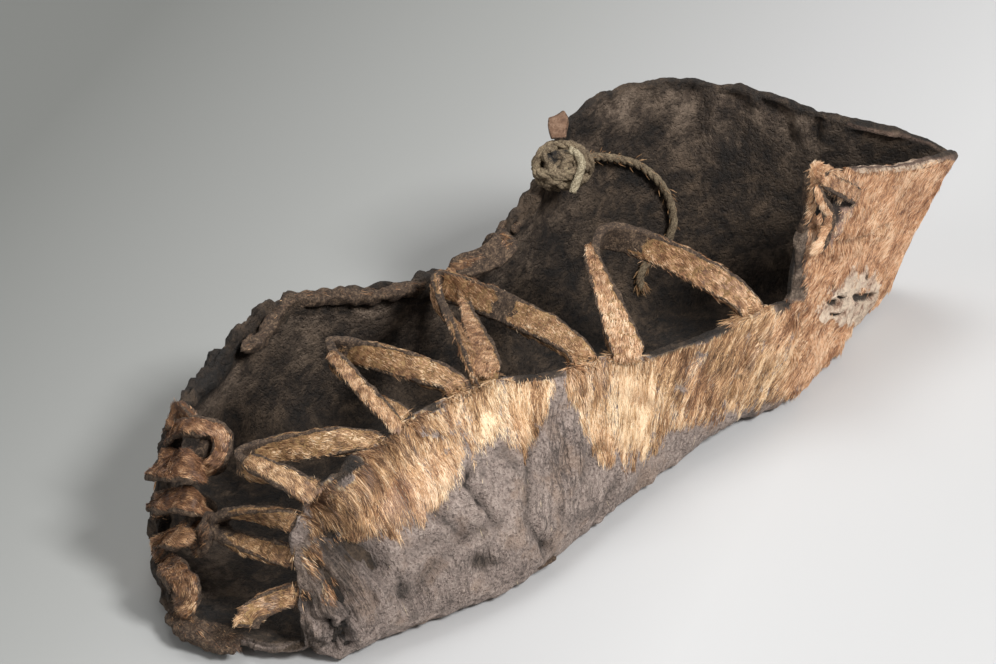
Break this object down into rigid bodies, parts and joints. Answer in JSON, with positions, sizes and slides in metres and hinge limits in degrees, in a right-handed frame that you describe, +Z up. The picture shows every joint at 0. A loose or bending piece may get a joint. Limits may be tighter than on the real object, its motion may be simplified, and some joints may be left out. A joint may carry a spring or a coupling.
{
  "type": "ancient shoe",
  "caption": "Ancient one-piece hide shoe, hair side out, with lacing loops slit from its rim, an open throat and toe, and a knotted plant-fibre drawstring.",
  "frame": {"origin": "on the floor under the middle of the sole", "axes": "toe along -X, heel along +X, the near quarter along -Y, +Z up"},
  "size_m": [0.217, 0.0849, 0.0612],
  "materials": {
    "worn_hide": "matt, wrinkled and cracked, with streaks of blond hair",
    "hair_on_strap": "matt short hair on one face, with dark cut edges",
    "tan_strap": "matt orange-brown hair with dark cut edges",
    "dark_strap": "matt, very dark and stiff",
    "bare_tab": "matt, bare",
    "plant_fibre": "matt twisted fibre, frayed"
  },
  "bodies": {
    "root": {"hide_body": "worn_hide", "near_loop_1": "hair_on_strap", "near_loop_2": "hair_on_strap", "near_loop_3": "hair_on_strap", "near_loop_4": "hair_on_strap", "near_loop_5": "hair_on_strap", "near_loop_6": "hair_on_strap", "collar_loop": "tan_strap", "toe_loop_1": "dark_strap", "toe_loop_2": "dark_strap", "far_loop": "dark_strap", "collar_tab": "bare_tab", "drawstring": "plant_fibre", "drawstring_knot": "plant_fibre"}
  },
  "joints": []
}
